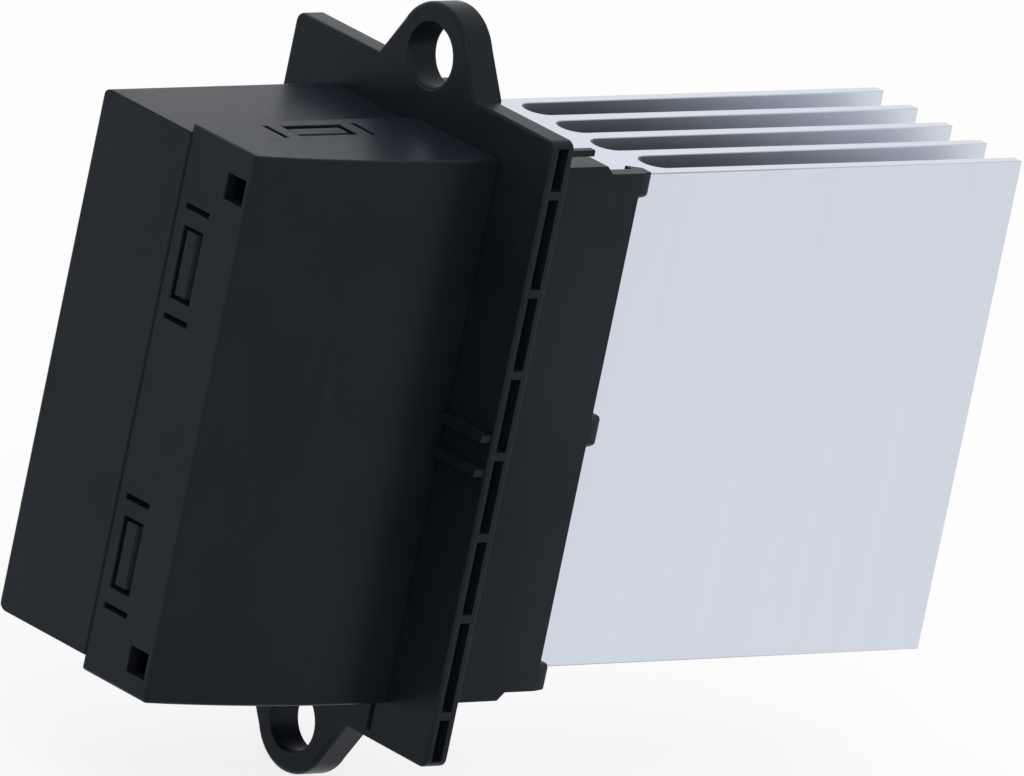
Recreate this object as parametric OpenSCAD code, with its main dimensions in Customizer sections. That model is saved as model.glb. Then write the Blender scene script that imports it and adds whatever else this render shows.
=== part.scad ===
// Blower motor resistor: a black housing with a flange, ears and plug sockets, a clip-on side cover,
// a finned heat sink held by hooks, and the power board that they enclose.
// The origin is the centre of the flange's seat. +X points to the fins, +Y to the plug side
// and +Z up from ear to ear. Sizes are in millimetres.

/* [Flange] */
// Width of the flange
flange_w = 47.8; // [44:0.2:56]
// Height of the flange
flange_h = 77; // [74:0.5:80]
// Thickness of the flange
flange_t = 3.2; // [2.6:0.1:4]
// Corner radius of the flange
flange_corner_r = 1.2; // [0.6:0.2:3]
// Width of the cored pockets in the long edges
pocket_w = 1.5; // [1:0.1:1.8]
// Depth of the cored pockets
pocket_depth = 5; // [2:0.5:5.5]
// Distance between the ribs that part the pockets
pocket_pitch = 10; // [8:0.5:11]
// Distance of the last rib from the middle height
pocket_last_z = 32; // [30:0.5:34]
// Thickness of the ribs between the pockets
pocket_rib_t = 1; // [0.8:0.1:1.4]
// Wall left at the end of each row of pockets
pocket_end_wall = 0.8; // [0.6:0.1:1.5]
// Distance of the two ribs on the flange's back from the middle height
rib_z = 2.1; // [1:0.1:6]
// Thickness of those ribs
rib_t = 0.9; // [0.6:0.1:1.6]
// Height of those ribs
rib_h = 1.5; // [0.8:0.1:3]
// Distance from the flange's long edge to those ribs
rib_edge = 0.4; // [0.2:0.1:2]
// Length of the peg on the seat side
peg_len = 6.9; // [4:0.1:9]
// Width of the peg
peg_w = 1; // [0.8:0.1:1.8]
// Thickness of the peg
peg_t = 0.8; // [0.6:0.1:2]
// Distance from the flange's long edge to the peg
peg_edge = 3.8; // [2:0.1:4]
// Distance from the flange's top to the peg
peg_top = 2.4; // [1:0.1:2.5]
// Width of the two grooves in the flange's back
groove_w = 0.8; // [0.6:0.1:2]
// Depth of the grooves
groove_depth = 0.4; // [0.3:0.1:0.8]
// Distance from the flange's lower edge to the grooves
groove_stop = 1; // [0.6:0.1:2]
// Distance of the grooves from the middle plane
groove_y = 13.1; // [11:0.1:15]

/* [Ears] */
// Distance between the two ear holes
ear_spacing = 82; // [80:0.2:90]
// Diameter of the ear holes
ear_hole_d = 7.5; // [6:0.1:8]
// Chamfer of the ear holes at the flange's back
ear_chamfer = 0.3; // [0.2:0.1:0.8]
// Material round each ear hole
ear_rim = 2.65; // [2:0.05:4]
// Height of the ears' pads above the seat
ear_pad = 1; // [0.4:0.1:1.5]
// Spread of the ear's foot beyond its round end, on each side
ear_flare = 2.7; // [1:0.1:5]

/* [Side cover] */
// Length of the box behind the flange
box_len = 33.9; // [32:0.1:42]
// Height of the cover
cover_h = 67; // [66:0.5:72]
// Distance from the middle plane to the cover's face at the flange
cover_reach = 15.3; // [14.8:0.1:20]
// Radius of the bow in the cover's face
cover_crown_r = 140; // [110:5:400]
// Distance from the flange to the start of the bow
cover_crown_x = 2; // [0:0.5:6]
// Wall of the cover
cover_wall = 1.7; // [1.2:0.1:2]
// Gap between the cover and what it fits
cover_gap = 0.15; // [0.1:0.05:0.3]
// Place of the seam between the cover and the plug block
seam_y = 0.15; // [-1:0.05:2]
// Size of the square holes in the cover's end
square_hole = 3.2; // [2:0.1:3.6]
// Half the distance between the two square holes
square_hole_z = 28.95; // [27:0.05:29.2]
// Distance from the seam to the middle of the square holes
square_hole_y = 9; // [8.5:0.1:9.3]

/* [Snaps] */
// Length of a snap nose
snap_len = 7.9; // [5:0.1:9]
// Width of a snap nose
snap_w = 2.5; // [2:0.1:3.2]
// Gap round a snap nose in its window
snap_gap = 0.5; // [0.2:0.05:0.6]
// Depth of a snap nose below the cover's surface
snap_recess = 0.2; // [0.1:0.05:0.5]
// Distance from the seam to the middle of the snaps
snap_y = 3.5; // [3:0.1:4]
// Half the distance between the two end snaps
snap_z = 17.8; // [15:0.1:19]
// Drop of the end snaps and the square holes from the middle height
end_drop = 0.45; // [0:0.05:0.8]
// Distance of the top and bottom snaps from the cover's end
snap_x = 16.2; // [13:0.1:18]
// Width of the relief slits beside the windows
slit_w = 0.7; // [0.5:0.1:1.4]
// Length of the relief slits
slit_len = 4.2; // [3:0.1:5]
// Distance from a window's end to its relief slit
slit_offset = 1.9; // [1:0.1:3]

/* [Plug block] */
// Distance from the middle plane to the plug face
block_reach = 16.45; // [15:0.05:19]
// Step down from the cover to the block at the top
block_step = 1; // [0.5:0.1:1.6]
// Reach of the block beyond the cover at the end
block_proud = 0.2; // [0:0.1:0.6]
// Radius of the edge between the plug face and the block's end
block_corner_r = 0.5; // [0.3:0.1:2]
// Radius of the plug face's upper and lower edges
block_edge_r = 1.4; // [0.5:0.1:1.5]
// Wall of the plug face
block_face_t = 1.8; // [1.4:0.1:2.4]
// Length of the collar that the cover slides over
collar_len = 6.75; // [6.2:0.05:7]
// Wall of that collar
collar_wall = 1.5; // [1.2:0.1:1.8]
// Length of a plug socket
socket_len = 26; // [24.5:0.5:27]
// Width of a plug socket
socket_w = 15; // [11:0.5:16]
// Depth of a plug socket
socket_depth = 13.2; // [11:0.1:13.6]
// Wall and floor of a plug socket
socket_wall = 1.6; // [1.2:0.1:1.8]
// Distance between the two sockets' middles
socket_pitch = 31; // [30.5:0.1:31.5]
// Width of the keying ribs in the sockets
key_w = 1.4; // [1:0.1:2]
// Height of the keying ribs
key_h = 1; // [0.6:0.1:1.4]
// Distance of the keying ribs from the sockets' middle
key_z = 7; // [3:0.5:10]
// Width of the latch ramps in the sockets
latch_w = 6; // [4:0.5:10]
// Height of the latch ramps
latch_h = 0.8; // [0.5:0.1:1.2]
// Length of the latch ramps
latch_len = 2.6; // [2:0.1:4]
// Distance from a socket's mouth to its latch ramp
latch_inset = 2; // [1:0.1:4]

/* [Terminals] */
// Width of a blade
blade_w = 6.3; // [4.8:0.1:6.8]
// Thickness of blades and pins
blade_t = 0.8; // [0.6:0.1:1]
// Width of a pin
pin_w = 2.8; // [2:0.1:3]
// Distance from a terminal's tip to the socket's mouth
tip_inset = 3; // [2:0.5:6]
// Length of the bevel at a terminal's tip
tip_bevel = 1.2; // [0.6:0.1:1.8]
// Length of a terminal's full width behind the socket
shoulder_len = 2.6; // [1:0.1:4]
// Width of the solder tails
tail_w = 1.4; // [1:0.1:1.6]
// Length of the solder tails beyond the board
tail_stick = 1; // [0.5:0.1:1.5]
// Distance between the two blades of the motor socket
motor_pitch = 12; // [9:0.5:16]
// Distance from the outer terminals of the lower socket to its sides
row_margin = 1.4; // [0.8:0.1:2]
// Gap round a terminal in the socket's floor
slot_gap = 0.05; // [0.03:0.01:0.1]

/* [Heat sink] */
// Number of fins
fin_count = 5; // [3:1:5]
// Distance from fin to fin
fin_pitch = 6.37; // [5.6:0.01:6.8]
// Thickness of a fin at its tip
fin_t = 1.4; // [1:0.1:2]
// Widening of a fin towards its root, on each side
fin_taper = 0.3; // [0:0.05:0.4]
// Length of the gap beside the cover
fin_len = 56.4; // [30:0.1:70]
// Extra depth of the other gaps
gap_extra = 2; // [0:0.1:2.5]
// Length of the extrusion, along the fins' edges
sink_h = 61.1; // [59:0.1:63]
// Solid thickness between the lip and the gap beside the cover
sink_solid = 7.2; // [6:0.1:12]
// Thickness of the lip under the hooks
lip_t = 6; // [4:0.1:8]
// Width of the lip on each side
lip_side = 1.96; // [1.5:0.01:2.5]
// Distance from the seat to the ledge that carries the heat sink
ledge_x = 11.2; // [10.5:0.1:14]

/* [Skirt] */
// Wall of the skirt's long sides
skirt_wall = 1.8; // [1.4:0.1:2.4]
// Wall of the skirt's short sides
skirt_end_wall = 2.3; // [2:0.1:3]
// Gap round the heat sink in the skirt
sink_gap = 0.15; // [0.1:0.05:0.3]
// Height of the short sides above the ledge
short_rim = 1.8; // [1.2:0.1:3]
// Slope at the rim of the short sides
rim_slope = 1; // [0.8:0.1:1.8]
// Height of the long sides above the lip
long_rim = 0.4; // [0.2:0.1:1]
// Width of the ledge
ledge_w = 1.35; // [1:0.05:1.6]
// Thickness of the ledge
ledge_t = 2; // [1.5:0.1:3]
// Width of a hook at the middle of a long side
hook_mid_w = 3.8; // [3:0.1:8]
// Width of a hook at the corners
hook_end_w = 3.2; // [2.5:0.1:6]
// Height of a hook above the lip
hook_h = 2.4; // [1.5:0.1:3]
// Reach of a hook over the lip
hook_reach = 1.1; // [0.6:0.1:1.3]
// Gap between the lip and a hook
hook_gap = 0.1; // [0.05:0.05:0.3]
// Slope on the outside of a hook
hook_slope = 0.5; // [0.2:0.1:1]
// Flange left between the ledge and the board's window
window_rim = 1.2; // [0.8:0.1:3]
// Gap between the board's edges and the window
window_gap = 1; // [0.5:0.1:1.4]

/* [Board] */
// Thickness of the board
board_t = 1.6; // [1:0.1:2]
// Height of the board
board_h = 54; // [53:0.5:55]
// Distance from the middle plane to the board's plug side
board_y = 7; // [6.6:0.1:7.4]
// Gap between the board and the end of the box
board_end_gap = 1.4; // [1:0.1:3]
// Length of board beyond the transistors' leads
board_margin = 1.6; // [1:0.1:2]
// Room for parts on the board's cover side
part_room = 4.4; // [3.8:0.1:4.4]
// Diameter of the posts that carry the board
post_d = 6; // [5:0.1:6.4]
// Height of the posts from the middle
post_z = 24; // [23.5:0.1:24.5]
// Distance between the two rows of posts
post_pitch = 12; // [11:0.5:13]
// Depth of the screw holes in the posts
post_hole_depth = 6; // [5:0.5:7]
// Diameter of the board screws
board_screw_d = 2.6; // [2:0.1:3]
// Gap round a screw in the board
screw_gap = 0.2; // [0.1:0.05:0.3]
// Gap round a lead in the board
lead_gap = 0.15; // [0.1:0.05:0.25]
// Gap round a screw's thread in its hole
thread_gap = 0.05; // [0.03:0.01:0.1]
// Room left below a screw's point
point_room = 1; // [0.5:0.1:2]

/* [Transistors] */
// Distance between the transistors
transistor_pitch = 26; // [22:1:32]
// Width of a transistor
transistor_w = 10.2; // [9:0.1:11]
// Height of the moulded case
case_h = 9.2; // [8:0.1:9.6]
// Depth of the moulded case
case_d = 4.5; // [4:0.1:5]
// Distance from the board to the moulded case
case_lift = 4.6; // [3.6:0.1:4.8]
// Height of the metal tab above the case
tab_h = 6.4; // [6:0.1:6.8]
// Thickness of the metal tab
tab_t = 1.3; // [1:0.1:1.6]
// Distance from the case's lower edge to the tab's
tab_inset = 0.6; // [0.3:0.1:1]
// Diameter of the transistor screws
tab_screw_d = 3; // [2.5:0.1:3.2]
// Length of the transistor screws in the heat sink
tab_screw_len = 7; // [5:0.5:9]
// Gap round a screw in the tab
tab_gap = 0.3; // [0.2:0.05:0.4]
// Distance from the tab's back to the leads
lead_depth = 2.6; // [2.2:0.1:3]
// Distance from lead to lead
lead_pitch = 2.54; // [2.2:0.01:2.8]
// Width of a lead
lead_w = 0.8; // [0.6:0.1:1]
// Thickness of a lead
lead_t = 0.5; // [0.3:0.1:0.7]
// Thickness of the thermal pad
pad_t = 0.3; // [0.2:0.05:0.6]
// Border of the thermal pad round the transistor
pad_margin = 0.4; // [0.2:0.1:0.6]

/* [Parts on the board] */
// Distance from the flange to the middle row of parts
row_x = 2.5; // [2:0.1:3]
// Distance from the middle row to the rows of small parts
chip_row = 6; // [5:0.1:6.5]
// Diameter of the filter capacitor
cap_d = 8; // [6.3:0.1:8.2]
// Length of the filter capacitor
cap_len = 13; // [11:0.5:15]
// Depth of the crimp round the capacitor
crimp_depth = 0.5; // [0.3:0.1:0.8]
// Width of the crimp
crimp_w = 1.2; // [0.8:0.1:1.6]
// Distance from the capacitor's end to the crimp
crimp_inset = 2; // [1.5:0.1:3]
// Diameter of the capacitor's leads
cap_lead_d = 0.6; // [0.5:0.1:0.8]
// Distance between the capacitor's leads
cap_lead_pitch = 3.5; // [2.5:0.1:4]
// Distance from the capacitor's end to its leads' bend
cap_bend = 1.5; // [1:0.1:1.6]
// Outer diameter of the choke's core
choke_d = 12; // [10:0.5:12.5]
// Radial thickness of the core
choke_core_w = 2.6; // [2:0.1:3]
// Height of the core
choke_core_h = 4; // [3:0.1:5]
// Wire diameter of the choke
choke_wire = 0.9; // [0.6:0.1:1]
// Turns on the choke
choke_turns = 12; // [8:1:14]
// Distance of the choke from the middle height
choke_z = 17; // [16:0.5:18]
// Distance from the middle row to the choke's axis
choke_shift = 3; // [2:0.5:4]
// Length of the current shunt
shunt_len = 12; // [9:0.5:13]
// Width of the shunt
shunt_w = 4; // [3:0.1:5]
// Thickness of the shunt
shunt_t = 0.8; // [0.5:0.1:1]
// Height of the shunt above the board
shunt_rise = 4; // [3:0.1:5]
// Width of the shunt's feet in the board
shunt_foot_w = 1.6; // [1.2:0.1:2]
// Distance of the shunt from the middle height
shunt_z = 17; // [16:0.5:18]

/* [Hidden] */
$fn = 64;
// Overlap of solids that are joined, and overrun of cuts
eps = 0.5;
// Gap between loose inner pieces that lie on each other
rest_gap = 0.05;

black_plastic = [0.11, 0.12, 0.14];
aluminium = [0.82, 0.84, 0.87];
board_green = [0.06, 0.30, 0.16];
epoxy_black = [0.07, 0.07, 0.08];
tinned = [0.72, 0.71, 0.68];
steel = [0.62, 0.63, 0.65];
copper = [0.72, 0.40, 0.20];
ferrite = [0.20, 0.21, 0.22];
sleeve_blue = [0.16, 0.18, 0.36];
pad_grey = [0.80, 0.80, 0.78];
ceramic_tan = [0.70, 0.58, 0.42];

// Planes of the box behind the flange
flange_back = -flange_t;
box_end = flange_back - box_len;
block_end = box_end - block_proud;
block_top = cover_h / 2 - block_step;
collar_end = box_end + cover_wall + cover_gap;
collar_half = cover_h / 2 - cover_wall - cover_gap;
cavity_end = collar_end + collar_wall;
cavity_half = collar_half - collar_wall;
cover_open = flange_back - cover_gap;
crown = [flange_back - cover_crown_x, cover_crown_r - cover_reach];
snap_mid_y = seam_y - snap_y;
snap_mid_x = box_end + snap_x;
snap_window = [4 * cover_wall, snap_w + 2 * snap_gap, snap_len + 2 * snap_gap];
slit_z = snap_len / 2 + snap_gap + slit_offset + slit_w / 2;

// Ears, and the ribs in the flange's pocket rows
ear_r = ear_hole_d / 2 + ear_rim;
ear_foot = ear_r + ear_flare;
ear_z = ear_spacing / 2;
// Depth to which the flanks cut into the round end
ear_bite = 0.05;
pocket_rib_z = [0, pocket_pitch, 2 * pocket_pitch, pocket_last_z];

// Heat sink, from the ledge outwards
fin_gap = fin_pitch - fin_t;
neck_w = (fin_count - 1) * fin_pitch + fin_t;
lip_w = neck_w + 2 * lip_side;
lip_top = ledge_x + lip_t;
root_x = lip_top + sink_solid;
tip_x = root_x + fin_len;

// Skirt round it
skirt_in = lip_w / 2 + sink_gap;
skirt_out = skirt_in + skirt_wall;
skirt_half_in = sink_h / 2 + sink_gap;
skirt_half = skirt_half_in + skirt_end_wall;
slope_z = skirt_half - rim_slope;
short_top = ledge_x + short_rim;
long_top = lip_top + long_rim;

// Sockets and terminals
socket_mid_x = flange_back - box_len / 2;
socket_mid_z = socket_pitch / 2;
socket_floor = block_reach - socket_depth;
well_back = socket_floor - socket_wall;
tip_y = block_reach - tip_inset;
shoulder_y = well_back - shoulder_len;
row_gap = (socket_len - 2 * row_margin - 2 * blade_w - 2 * pin_w) / 3;
supply_z = -socket_mid_z - socket_len / 2 + row_margin + blade_w / 2;
ground_z = supply_z + blade_w + row_gap;
control_z = ground_z + (blade_w + pin_w) / 2 + row_gap;
feedback_z = control_z + pin_w + row_gap;
// Each row: height and width
TERMINALS = [[socket_mid_z + motor_pitch / 2, blade_w], [socket_mid_z - motor_pitch / 2, blade_w],
    [supply_z, blade_w], [ground_z, blade_w], [control_z, pin_w], [feedback_z, pin_w]];
// Heights of the keying ribs: one in the upper socket, two in the lower one
KEYS = [socket_mid_z + key_z, -socket_mid_z - key_z, -socket_mid_z + key_z];
tail_hole_d = norm([tail_w, blade_t]) + 2 * lead_gap;

// Board, and the window that it passes through
board_far = -board_y;
board_near = board_far - board_t;
tail_y = board_near - tail_stick;
pad_x = ledge_x - pad_t;
lead_x = pad_x - lead_depth;
board_start = cavity_end + board_end_gap;
board_stop = lead_x + board_margin;
window_half = board_h / 2 + window_gap;
window_near = board_near - part_room;
window_far = skirt_in - ledge_w - window_rim;
// Each post: place along X and height
POSTS = [for (x = [-1, 1], z = [-1, 1]) [socket_mid_x + x * post_pitch / 2, z * post_z]];
post_hole_d = board_screw_d + 2 * thread_gap;

// Transistors, flat on the pads
lead_hole_d = norm([lead_w, lead_t]) + 2 * lead_gap;
case_y = board_far + case_lift;
tab_y = case_y + case_h;
tab_screw_y = tab_y + tab_h / 2;
tab_hole_d = tab_screw_d + 2 * tab_gap;
transistor_z = transistor_pitch / 2;

// Parts on the board; a case's or chip's size is across, high and along
inner_x = flange_back - row_x;
cap_mid_y = board_far + rest_gap + cap_d / 2;
cap_lead_z = cap_len / 2 + cap_bend;
choke_x = inner_x + choke_shift;
choke_low = board_far + choke_wire + 2 * rest_gap;
choke_lead_x = (choke_d + choke_wire) / 2 + rest_gap;
shunt_low = board_far + rest_gap;
shunt_hole_d = norm([shunt_foot_w, shunt_t]) + 2 * lead_gap;
shunt_feet = [for (end = [-1, 1]) -shunt_z + end * (shunt_len - shunt_t) / 2];
driver_size = [4, 1.6, 5];
driver_legs = 4;
driver_leg_w = 0.4;
driver_leg_len = 1;
diode_size = [4.4, 2.3, 3.6];
diode_leg_w = 2;
diode_leg_len = 0.6;
diode_z = 12;
case_stand = 0.1;
resistor_size = [1.25, 0.5, 2];
resistor_pitch = 3.8;
resistor_count = 6;
capacitor_size = [1.6, 0.9, 3.2];
capacitor_pitch = 4.2;
capacitor_count = 4;
chip_cap_rise = 0.05;

// Places a flat outline in the Y-Z plane and thickens it towards +X
module along_x(x, len) { translate([x, 0, 0]) rotate([90, 0, 90]) linear_extrude(len) children(); }

// Thickens a flat outline in the X-Y plane evenly up and down
module along_z(len, z = 0) { translate([0, 0, z]) linear_extrude(len, center = true) children(); }

// Block between two corners
module span(low, high) { translate(low) cube(high - low); }

// Rod along X, Y or Z from a point
module rod_x(at, d, len) { translate(at) rotate([0, 90, 0]) cylinder(d = d, h = len); }
module rod_y(at, d, len) { translate(at) rotate([-90, 0, 0]) cylinder(d = d, h = len); }
module rod_z(at, d, len) { translate(at) cylinder(d = d, h = len); }

// Flat outline of a rectangle with round corners
module round_rect(w, h, r) {
    square([w - 2 * r, h], center = true);
    square([w, h - 2 * r], center = true);
    for (y = [-1, 1], z = [-1, 1]) translate([y * (w / 2 - r), z * (h / 2 - r)]) circle(r);
}

// Flat outline of one ear: a round end and two flanks that run into it, down to the flange's edge
module ear_outline() {
    foot = [ear_foot, flange_h / 2 - ear_z];
    touch_r = ear_r - ear_bite;
    turn = atan2(foot.y, foot.x) + acos(touch_r / norm(foot));
    touch = touch_r * [cos(turn), sin(turn)];
    translate([0, ear_z]) {
        circle(ear_r);
        polygon([[-foot.x, foot.y - eps], [-foot.x, foot.y], [-touch.x, touch.y],
            [touch.x, touch.y], [foot.x, foot.y], [foot.x, foot.y - eps]]);
    }
}

// Flange with its ears, whose pads stand proud of the seat
module flange_plate() {
    along_x(flange_back, flange_t) round_rect(flange_w, flange_h, flange_corner_r);
    along_x(flange_back, flange_t + ear_pad) {
        ear_outline();
        mirror([0, 1]) ear_outline();
    }
}

// Ear holes, chamfered at the back
module ear_holes() {
    r = ear_hole_d / 2;
    for (z = [-ear_z, ear_z]) {
        rod_x([flange_back - eps, 0, z], ear_hole_d, flange_t + ear_pad + 2 * eps);
        translate([flange_back, 0, z]) rotate([0, 90, 0])
            cylinder(r1 = r + ear_chamfer, r2 = r, h = ear_chamfer);
    }
}

// Pockets that core out both long edges of the flange
module flange_pockets() {
    stop = flange_h / 2 - pocket_end_wall;
    last = len(pocket_rib_z) - 1;
    for (up = [0, 1], side = [0, 1], i = [0 : last]) {
        low = pocket_rib_z[i] + pocket_rib_t / 2;
        high = i < last ? pocket_rib_z[i + 1] - pocket_rib_t / 2 : stop;
        mirror([0, 0, up]) mirror([0, side, 0])
            span([(flange_back - pocket_w) / 2, flange_w / 2 - pocket_depth, low],
                [(flange_back + pocket_w) / 2, flange_w / 2 + eps, high]);
    }
}

// Grooves at the foot of the flange's back
module flange_grooves() {
    for (y = [-groove_y, groove_y])
        span([flange_back - eps, y - groove_w / 2, -flange_h / 2 + groove_stop],
            [flange_back + groove_depth, y + groove_w / 2, -cover_h / 2 - cover_gap]);
}

// Two low ribs on the flange's back, from the cover's face almost to the long edge
module back_ribs() {
    for (z = [-rib_z, rib_z])
        span([flange_back - rib_h, -flange_w / 2 + rib_edge, z - rib_t / 2],
            [flange_back + eps, -cover_reach - cover_gap, z + rib_t / 2]);
}

// Peg on the seat side that keys the part in its opening
module peg() {
    top = flange_h / 2 - peg_top;
    edge = -flange_w / 2 + peg_edge;
    span([-eps, edge, top - peg_t], [peg_len, edge + peg_w, top]);
}

// Skirt round the heat sink's lip, with sloped short rims and taller long sides
module skirt() {
    difference() {
        translate([0, -skirt_out, 0]) rotate([-90, 0, 0]) linear_extrude(2 * skirt_out)
            polygon([[-eps, -skirt_half], [short_top - rim_slope, -skirt_half], [short_top, -slope_z],
                [long_top, -slope_z], [long_top, slope_z], [short_top, slope_z],
                [short_top - rim_slope, skirt_half], [-eps, skirt_half]]);
        span([-2 * eps, -skirt_in, -skirt_half_in], [ledge_x - ledge_t, skirt_in, skirt_half_in]);
        span([0, -skirt_in + ledge_w, -skirt_half_in + ledge_w],
            [ledge_x, skirt_in - ledge_w, skirt_half_in - ledge_w]);
        span([ledge_x, -skirt_in, -skirt_half_in], [long_top + eps, skirt_in, skirt_half_in]);
        span([short_top, -skirt_in, -skirt_half], [long_top + eps, skirt_in, skirt_half]);
    }
    for (side = [0, 1]) mirror([0, side, 0]) {
        hook(hook_mid_w, 0);
        for (z = [-1, 1]) hook(hook_end_w, z * (slope_z - hook_end_w / 2));
    }
}

// One hook over the heat sink's lip, drawn on the +Y side
module hook(w, z) {
    root = ledge_x + lip_t / 2;
    low = lip_top + hook_gap;
    high = lip_top + hook_h;
    nose = lip_w / 2 - hook_reach;
    along_z(w, z) polygon([[root, skirt_out], [long_top, skirt_out], [high, skirt_out - hook_slope],
        [high, skirt_in], [low, nose], [low, skirt_in], [root, skirt_in]]);
}

// Flat outline of the plug block seen from its end, with the edges of the plug face rounded
module block_profile() {
    r = block_edge_r;
    low = -collar_half;
    translate([seam_y - eps, low]) square([block_reach - r - seam_y + eps, block_top - low]);
    translate([seam_y, low + r]) square([block_reach - seam_y, block_top - low - 2 * r]);
    for (z = [low + r, block_top - r]) translate([block_reach - r, z]) circle(r);
}

// Flat outline of the plug block seen from above, with its outer edge rounded
module block_outline() {
    r = block_corner_r;
    difference() {
        translate([block_end, seam_y]) square([flange_back + eps - block_end, block_reach - seam_y]);
        translate([block_end, block_reach - r]) square(r);
    }
    translate([block_end + r, block_reach - r]) circle(r);
}

// Plug block, with the collar that the cover slides over and that it is flush with at the bottom
module block_shell() {
    difference() {
        union() {
            intersection() {
                along_z(block_top + collar_half, (block_top - collar_half) / 2) block_outline();
                along_x(block_end - eps, flange_back + 2 * eps - block_end) block_profile();
            }
            span([collar_end, seam_y - collar_len, -collar_half],
                [flange_back + eps, seam_y + eps, collar_half]);
        }
        span([cavity_end, -cover_reach, -cavity_half],
            [flange_back, block_reach - block_face_t, cavity_half]);
    }
}

// A snap nose lying on the +X side of the Y-Z plane, with a lead-in slope towards the cover
module nose(height) {
    along_z(snap_len) polygon([[-eps, snap_w / 2], [height, snap_w / 2], [height, -snap_w / 4],
        [height / 2, -snap_w / 2], [-eps, -snap_w / 2]]);
}

// Puts a piece on each of the four snap places, with +X outwards and Z along the snap
module at_snaps(end_x, half_z) {
    for (z = [-snap_z, snap_z]) translate([end_x, snap_mid_y, z - end_drop]) mirror([1, 0, 0]) children();
    for (up = [0, 1]) mirror([0, 0, up])
        translate([snap_mid_x, snap_mid_y, half_z]) rotate([0, -90, 0]) children();
}

// Outside and inside of the two plug wells
module wells(wall, low, high) {
    for (z = [-socket_mid_z, socket_mid_z])
        span([socket_mid_x - socket_w / 2 - wall, low, z - socket_len / 2 - wall],
            [socket_mid_x + socket_w / 2 + wall, high, z + socket_len / 2 + wall]);
}

// Keying ribs on one wall of the sockets, and a latch ramp on the other
module socket_keys() {
    low_x = socket_mid_x - socket_w / 2;
    high_x = socket_mid_x + socket_w / 2;
    catch_y = block_reach - latch_inset - latch_len;
    for (z = KEYS) span([low_x - eps, socket_floor - eps, z - key_w / 2],
        [low_x + key_h, block_reach - latch_inset, z + key_w / 2]);
    for (z = [-socket_mid_z, socket_mid_z]) along_z(latch_w, z)
        polygon([[high_x + eps, catch_y], [high_x - latch_h, catch_y], [high_x, catch_y + latch_len],
            [high_x + eps, catch_y + latch_len]]);
}

// Slots for the terminals in the sockets' floors
module terminal_slots() {
    half_t = blade_t / 2 + slot_gap;
    for (t = TERMINALS)
        span([socket_mid_x - half_t, well_back - eps, t[0] - t[1] / 2 - slot_gap],
            [socket_mid_x + half_t, socket_floor + eps, t[0] + t[1] / 2 + slot_gap]);
}

module housing() {
    color(black_plastic) {
        difference() {
            union() {
                flange_plate();
                skirt();
                block_shell();
                at_snaps(collar_end, collar_half) nose(cover_gap + cover_wall - snap_recess);
                wells(socket_wall, well_back, block_reach - block_face_t + eps);
                for (p = POSTS) rod_y([p[0], board_far, p[1]], post_d, well_back - board_far + eps);
                back_ribs();
                peg();
            }
            span([flange_back - eps, window_near, -window_half], [eps, window_far, window_half]);
            wells(0, socket_floor, block_reach + eps);
            terminal_slots();
            for (p = POSTS) rod_y([p[0], board_far - eps, p[1]], post_hole_d, post_hole_depth + eps);
            ear_holes();
            flange_pockets();
            flange_grooves();
        }
        socket_keys();
    }
}

// Flat box with one bowed side, set in by an even wall
module bowed_box(inset, open_x, open_y) {
    low = [box_end + inset, -cover_reach - eps];
    intersection() {
        translate(low) square([open_x, open_y] - low);
        translate(crown) circle(r = cover_crown_r - inset, $fn = 256);
    }
}

module side_cover() {
    color(black_plastic) difference() {
        along_z(cover_h) bowed_box(0, cover_open, seam_y);
        along_z(cover_h - 2 * cover_wall) bowed_box(cover_wall, cover_open + eps, seam_y + eps);
        at_snaps(box_end, cover_h / 2) {
            cube(snap_window, center = true);
            for (z = [-slit_z, slit_z]) translate([0, 0, z])
                cube([snap_window.x, slit_len, slit_w], center = true);
        }
        for (z = [-square_hole_z, square_hole_z])
            translate([box_end, seam_y - square_hole_y, z - end_drop])
                cube([snap_window.x, square_hole, square_hole], center = true);
    }
}

// Flat outline of the gap between two fins: a round root that widens towards the tips
module gap_outline(depth) {
    r = fin_gap / 2 - fin_taper;
    turn_x = root_x - depth + r;
    translate([turn_x, 0]) circle(r);
    polygon([[turn_x, -r], [tip_x, -fin_gap / 2], [tip_x + eps, -fin_gap / 2],
        [tip_x + eps, fin_gap / 2], [tip_x, fin_gap / 2], [turn_x, r]]);
}

// Flat outline of the extrusion: lip, solid neck and tapered fins
module sink_outline() {
    translate([ledge_x, -lip_w / 2]) square([lip_t, lip_w]);
    difference() {
        translate([lip_top - eps, -neck_w / 2]) square([tip_x - lip_top + eps, neck_w]);
        for (i = [1 : fin_count - 1]) translate([0, (i - fin_count / 2) * fin_pitch])
            gap_outline(i > 1 ? gap_extra : 0);
    }
}

module heat_sink() {
    hole_d = tab_screw_d + 2 * thread_gap;
    depth = tab_screw_len + point_room;
    color(aluminium) difference() {
        along_z(sink_h) sink_outline();
        for (z = [-transistor_z, transistor_z]) rod_x([ledge_x - eps, tab_screw_y, z], hole_d, depth + eps);
    }
}

// Hole through the board
module board_hole(x, z, d) { rod_y([x, board_near - eps, z], d, board_t + 2 * eps); }

module circuit_board() {
    cap_hole_d = cap_lead_d + 2 * lead_gap;
    choke_hole_d = choke_wire + 2 * lead_gap;
    color(board_green) difference() {
        span([board_start, board_near, -board_h / 2], [board_stop, board_far, board_h / 2]);
        for (t = TERMINALS) board_hole(socket_mid_x, t[0], tail_hole_d);
        for (p = POSTS) board_hole(p[0], p[1], board_screw_d + 2 * screw_gap);
        for (z = [-transistor_z, transistor_z], i = [-1 : 1])
            board_hole(lead_x, z + i * lead_pitch, lead_hole_d);
        for (side = [-1, 1]) board_hole(cap_x(side), cap_lead_z, cap_hole_d);
        for (side = [-1, 1]) board_hole(choke_x + side * choke_lead_x, choke_z, choke_hole_d);
        for (z = shunt_feet) board_hole(inner_x, z, shunt_hole_d);
    }
}

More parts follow.
